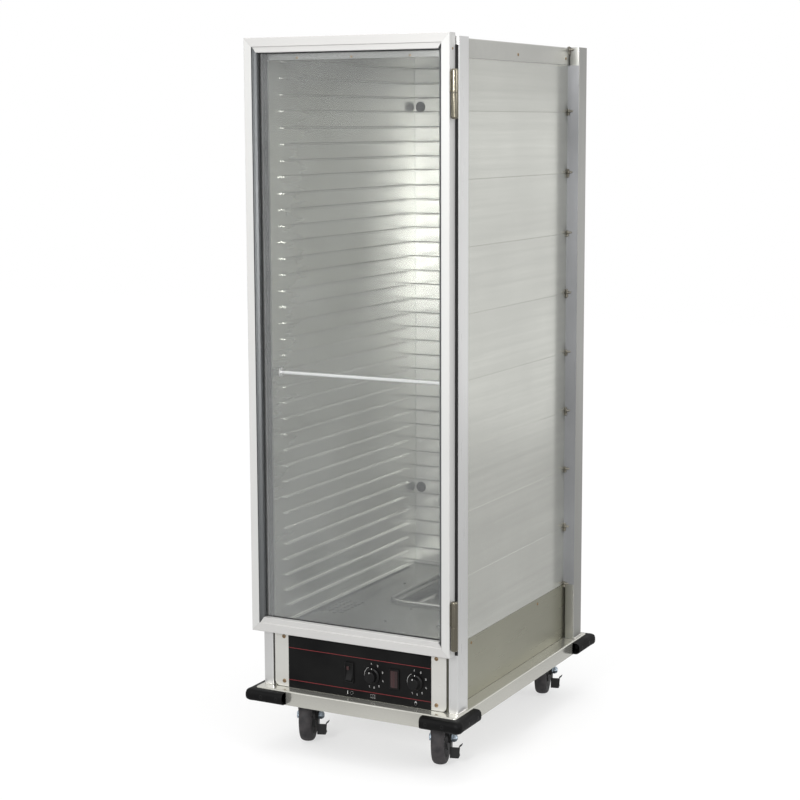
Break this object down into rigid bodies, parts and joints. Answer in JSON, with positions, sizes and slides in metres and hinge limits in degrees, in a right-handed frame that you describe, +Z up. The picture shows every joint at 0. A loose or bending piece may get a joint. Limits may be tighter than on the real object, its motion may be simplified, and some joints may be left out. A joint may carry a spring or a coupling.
{
  "type": "proofing cabinet",
  "caption": "Tall welded cabinet on swivel casters with a full-height clear door, ledged side walls and a slide-out heat and humidity module below.",
  "frame": {"origin": "middle of the footprint, on the floor under the casters", "axes": "+Z up, +Y towards the back, +X to the right as seen from the door side"},
  "size_m": [0.574, 0.827, 1.6916],
  "materials": {
    "satin_aluminium": "satin extruded aluminium",
    "wall_aluminium": "mill-finish extruded aluminium planks",
    "base_aluminium": "dull mill-finish aluminium sheet",
    "stainless": "brushed stainless sheet",
    "zinc": "bright zinc plated steel",
    "nickel": "dull warm nickel plate",
    "dark_steel": "black painted pressed steel",
    "black_rubber": "matt black rubber",
    "tread_rubber": "dark grey cast tread",
    "label_film": "satin black printed film",
    "black_plastic": "moulded black plastic",
    "red_lens": "dark red translucent lens",
    "clear_pane": "clear polycarbonate sheet"
  },
  "bodies": {
    "cabinet": {"base_pan": "base_aluminium", "bumper_front_left": "black_rubber", "bumper_front_right": "black_rubber", "bumper_rear_left": "black_rubber", "bumper_rear_right": "black_rubber", "post_front_left": "satin_aluminium", "post_front_right": "satin_aluminium", "post_rear_left": "satin_aluminium", "post_rear_right": "satin_aluminium", "side_wall_left": "wall_aluminium", "side_wall_right": "wall_aluminium", "rear_wall": "wall_aluminium", "side_skirt_left": "wall_aluminium", "side_skirt_right": "wall_aluminium", "rear_lower_panel": "wall_aluminium", "top_pan": "satin_aluminium", "floor_deck": "stainless", "crossbar": "satin_aluminium", "hinge_upper_post_knuckle": "nickel", "hinge_lower_post_knuckle": "nickel", "power_inlet": "black_plastic", "caster_plate_front_left": "zinc", "caster_plate_front_right": "zinc", "caster_plate_rear_left": "zinc", "caster_plate_rear_right": "zinc"},
    "door": {"door_stile_left": "satin_aluminium", "door_stile_right": "satin_aluminium", "door_rail_top": "satin_aluminium", "door_rail_bottom": "satin_aluminium", "door_pane": "clear_pane", "door_gasket": "black_rubber", "hinge_upper_door_knuckle": "nickel", "hinge_lower_door_knuckle": "nickel"},
    "module": {"control_panel": "satin_aluminium", "panel_label": "label_film", "switch_housing": "black_plastic", "heat_indicator": "red_lens", "heat_thermostat": "black_plastic", "humidity_thermostat": "black_plastic", "module_tray": "stainless", "heating_element": "dark_steel", "fan_motor": "dark_steel"},
    "rocker": {"power_rocker": "black_plastic"},
    "heat_control": {"heat_knob": "black_plastic"},
    "humidity_control": {"humidity_knob": "black_plastic"},
    "fan": {"fan_impeller": "stainless"},
    "pan": {"water_pan": "stainless"},
    "swivel_front_left": {"caster_fork_front_left": "dark_steel"},
    "wheel_front_left": {"caster_wheel_front_left": "tread_rubber"},
    "brake_front_left": {"brake_pedal_front_left": "dark_steel"},
    "swivel_front_right": {"caster_fork_front_right": "dark_steel"},
    "wheel_front_right": {"caster_wheel_front_right": "tread_rubber"},
    "brake_front_right": {"brake_pedal_front_right": "dark_steel"},
    "swivel_rear_left": {"caster_fork_rear_left": "dark_steel"},
    "wheel_rear_left": {"caster_wheel_rear_left": "tread_rubber"},
    "brake_rear_left": {"brake_pedal_rear_left": "dark_steel"},
    "swivel_rear_right": {"caster_fork_rear_right": "dark_steel"},
    "wheel_rear_right": {"caster_wheel_rear_right": "tread_rubber"},
    "brake_rear_right": {"brake_pedal_rear_right": "dark_steel"}
  },
  "joints": [
    {"name": "door_hinge", "type": "hinge", "parent": "cabinet", "child": "door", "pos_m": [0.2624, -0.39, 0.965], "axis": [0, 0, 1], "range_deg": [0, 180]},
    {"name": "module_slide", "type": "slide", "parent": "cabinet", "child": "module", "axis": [0, -1, 0], "range_m": [0, 0.3]},
    {"name": "power_switch", "type": "hinge", "parent": "module", "child": "rocker", "pos_m": [-0.0234, -0.3666, 0.221], "axis": [1, 0, 0], "range_deg": [0, 16]},
    {"name": "heat_dial", "type": "hinge", "parent": "module", "child": "heat_control", "pos_m": [0.038, -0.3695, 0.221], "axis": [0, 1, 0], "range_deg": [0, 270]},
    {"name": "humidity_dial", "type": "hinge", "parent": "module", "child": "humidity_control", "pos_m": [0.151, -0.3695, 0.221], "axis": [0, 1, 0], "range_deg": [0, 270]},
    {"name": "fan_spin", "type": "hinge", "parent": "module", "child": "fan", "pos_m": [-0.178, -0.1295, 0.228], "axis": [0, 0, 1], "continuous": true},
    {"name": "water_pan_lift", "type": "slide", "parent": "cabinet", "child": "pan", "axis": [0, 0, 1], "range_m": [0, 0.06]},
    {"name": "caster_swivel_front_left", "type": "hinge", "parent": "cabinet", "child": "swivel_front_left", "pos_m": [-0.18, -0.3055, 0.15], "axis": [0, 0, 1], "continuous": true},
    {"name": "wheel_spin_front_left", "type": "hinge", "parent": "swivel_front_left", "child": "wheel_front_left", "pos_m": [-0.19362, -0.27002, 0.06319], "axis": [0.9336, 0.3584, 0], "continuous": true},
    {"name": "brake_press_front_left", "type": "hinge", "parent": "swivel_front_left", "child": "brake_front_left", "pos_m": [-0.19362, -0.27002, 0.06319], "axis": [0.9336, 0.3584, 0], "range_deg": [0, 25]},
    {"name": "caster_swivel_front_right", "type": "hinge", "parent": "cabinet", "child": "swivel_front_right", "pos_m": [0.18, -0.3055, 0.15], "axis": [0, 0, 1], "continuous": true},
    {"name": "wheel_spin_front_right", "type": "hinge", "parent": "swivel_front_right", "child": "wheel_front_right", "pos_m": [0.16908, -0.2691, 0.06319], "axis": [0.9578, 0.2874, 0], "continuous": true},
    {"name": "brake_press_front_right", "type": "hinge", "parent": "swivel_front_right", "child": "brake_front_right", "pos_m": [0.16908, -0.2691, 0.06319], "axis": [0.9578, 0.2874, 0], "range_deg": [0, 25]},
    {"name": "caster_swivel_rear_left", "type": "hinge", "parent": "cabinet", "child": "swivel_rear_left", "pos_m": [-0.18, 0.2955, 0.15], "axis": [0, 0, 1], "continuous": true},
    {"name": "wheel_spin_rear_left", "type": "hinge", "parent": "swivel_rear_left", "child": "wheel_rear_left", "pos_m": [-0.19206, 0.33154, 0.06319], "axis": [0.9483, 0.3173, 0], "continuous": true},
    {"name": "brake_press_rear_left", "type": "hinge", "parent": "swivel_rear_left", "child": "brake_rear_left", "pos_m": [-0.19206, 0.33154, 0.06319], "axis": [0.9483, 0.3173, 0], "range_deg": [0, 25]},
    {"name": "caster_swivel_rear_right", "type": "hinge", "parent": "cabinet", "child": "swivel_rear_right", "pos_m": [0.18, 0.2955, 0.15], "axis": [0, 0, 1], "continuous": true},
    {"name": "wheel_spin_rear_right", "type": "hinge", "parent": "swivel_rear_right", "child": "wheel_rear_right", "pos_m": [0.16972, 0.33208, 0.06319], "axis": [0.9627, 0.2706, 0], "continuous": true},
    {"name": "brake_press_rear_right", "type": "hinge", "parent": "swivel_rear_right", "child": "brake_rear_right", "pos_m": [0.16972, 0.33208, 0.06319], "axis": [0.9627, 0.2706, 0], "range_deg": [0, 25]}
  ]
}
